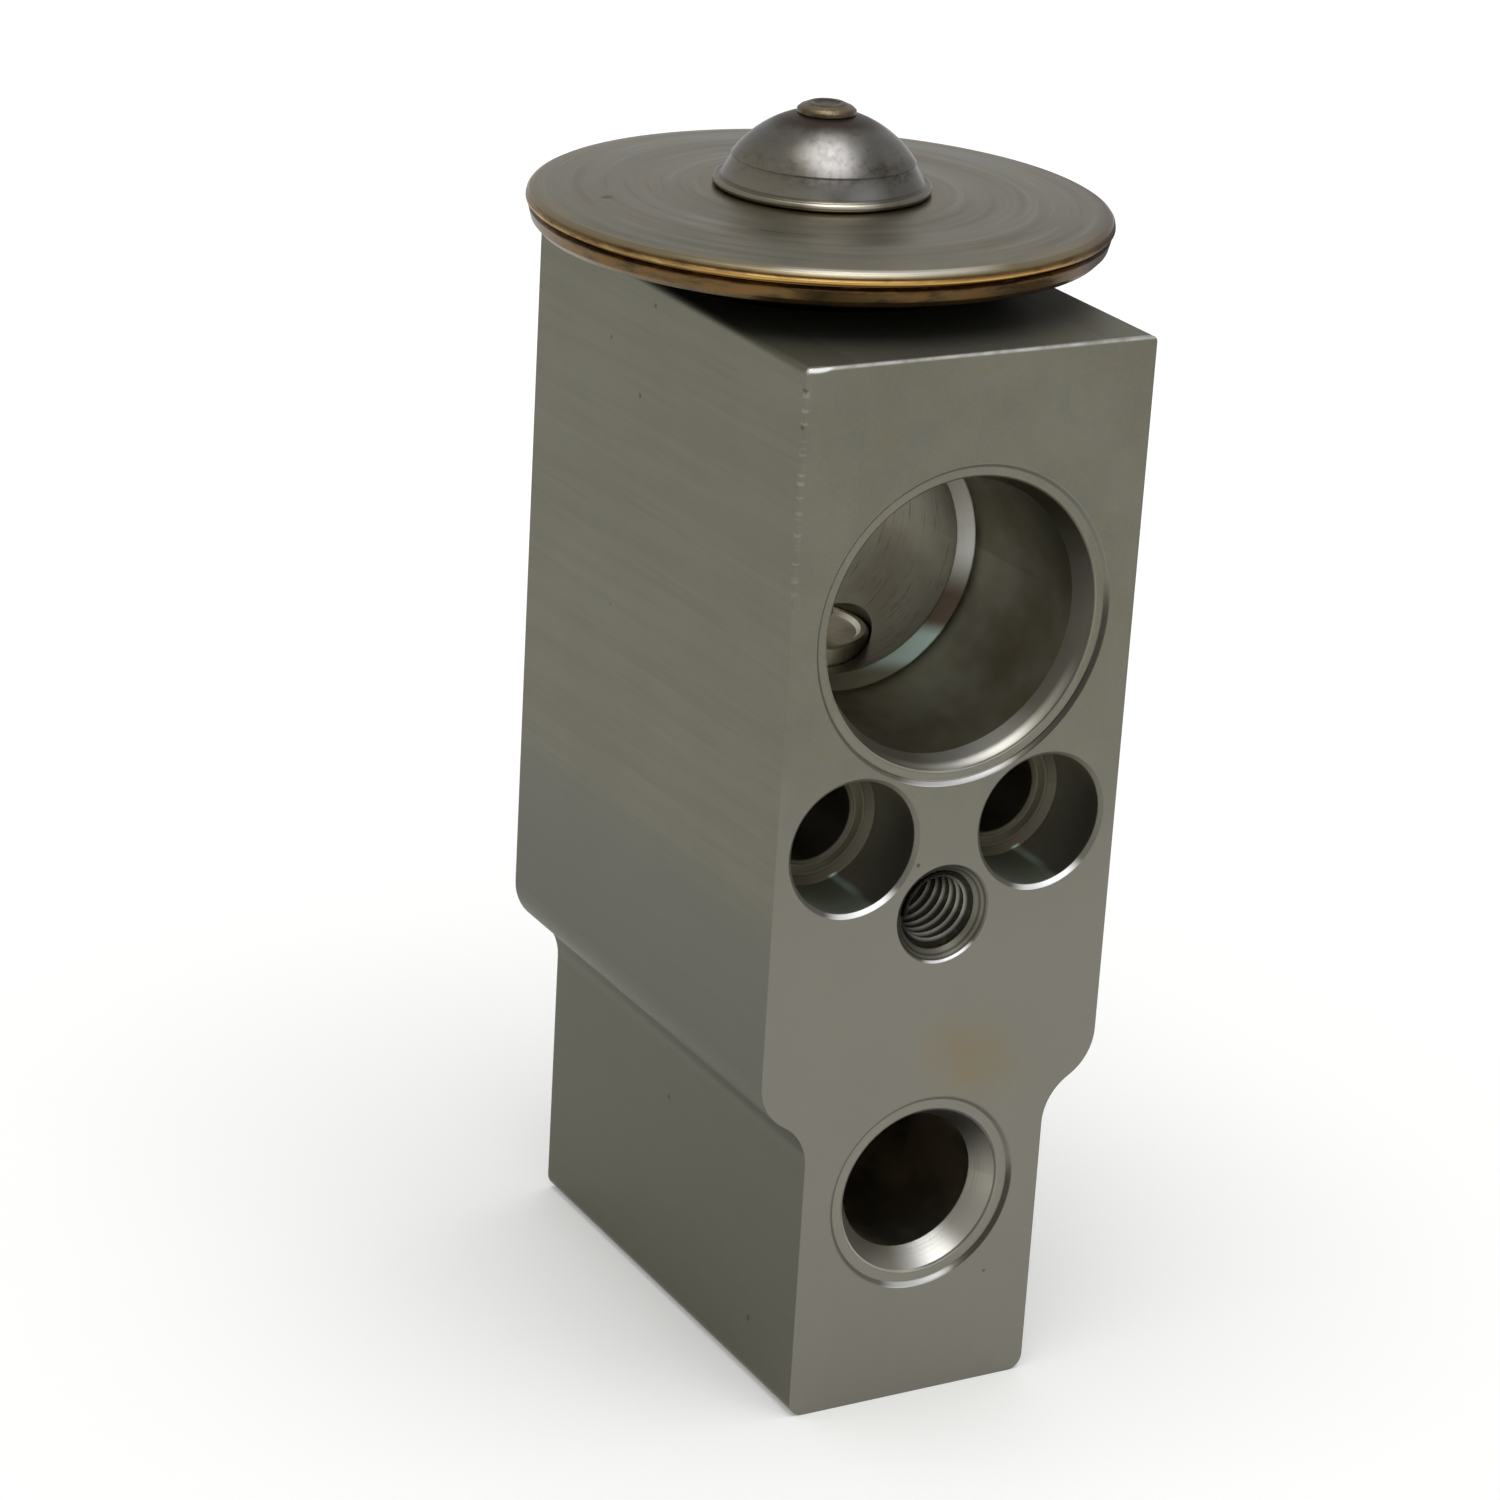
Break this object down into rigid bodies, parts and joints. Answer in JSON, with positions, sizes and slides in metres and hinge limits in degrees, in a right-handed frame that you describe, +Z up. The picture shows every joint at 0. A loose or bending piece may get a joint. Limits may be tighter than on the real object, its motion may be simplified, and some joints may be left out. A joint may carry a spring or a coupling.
{
  "type": "block-type thermostatic expansion valve",
  "caption": "Aluminium block expansion valve with stepped foot, pipe ports, counterbored fixing holes and a round diaphragm head with a charge dome.",
  "frame": {"origin": "where the valve axis meets the plane of the block's underside", "axes": "+Z up the valve axis towards the diaphragm head; -Y out of the pipe side; +Y out of the evaporator side; X across the block"},
  "size_m": [0.0426, 0.045, 0.0925],
  "materials": {
    "block_aluminium": "satin extruded and sawn aluminium",
    "cover_steel": "pressed stainless steel, heat-tinted at the rim",
    "dome_steel": "pressed stainless steel, bright",
    "plug_steel": "welded steel, browned",
    "diaphragm_steel": "thin rolled stainless steel",
    "seal_rubber": "smooth moulded rubber",
    "follower_aluminium": "turned aluminium",
    "rod_steel": "ground steel",
    "retainer_steel": "turned steel",
    "carrier_steel": "turned and pressed stainless steel",
    "spring_steel": "drawn spring wire",
    "screw_brass": "turned brass"
  },
  "bodies": {
    "valve_body": {"block": "block_aluminium", "lower_cover": "cover_steel", "diaphragm": "diaphragm_steel", "upper_cover": "cover_steel", "charge_dome": "dome_steel", "charge_plug": "plug_steel", "neck_o_ring": "seal_rubber", "rod_seal_retainer": "retainer_steel", "rod_seal": "seal_rubber", "superheat_spring": "spring_steel"},
    "valve_train": {"diaphragm_follower": "follower_aluminium", "sensing_rod": "follower_aluminium", "push_rod": "rod_steel", "valve_ball": "rod_steel", "ball_carrier": "carrier_steel", "anti_vibration_spring": "carrier_steel"},
    "adjuster_ring": {"adjuster_o_ring": "seal_rubber"},
    "adjuster": {"adjusting_screw": "screw_brass"}
  },
  "joints": [
    {"name": "valve_stroke", "type": "slide", "parent": "valve_body", "child": "valve_train", "axis": [0, 0, 1], "range_m": [0, 0.0007], "stiffness_N_per_m": 8000, "deforming": ["superheat_spring", "diaphragm"]},
    {"name": "adjuster_travel", "type": "slide", "parent": "valve_body", "child": "adjuster_ring", "axis": [0, 0, 1], "range_m": [-0.001, 0.001], "deforming": ["superheat_spring"]},
    {"name": "adjuster_turn", "type": "hinge", "parent": "adjuster_ring", "child": "adjuster", "pos_m": [0, 0, 0], "axis": [0, 0, 1], "range_deg": [-360, 360]}
  ],
  "couplings": [
    {"joint": "adjuster_turn", "follows": "adjuster_travel", "rad_per_m": 6283.2}
  ]
}
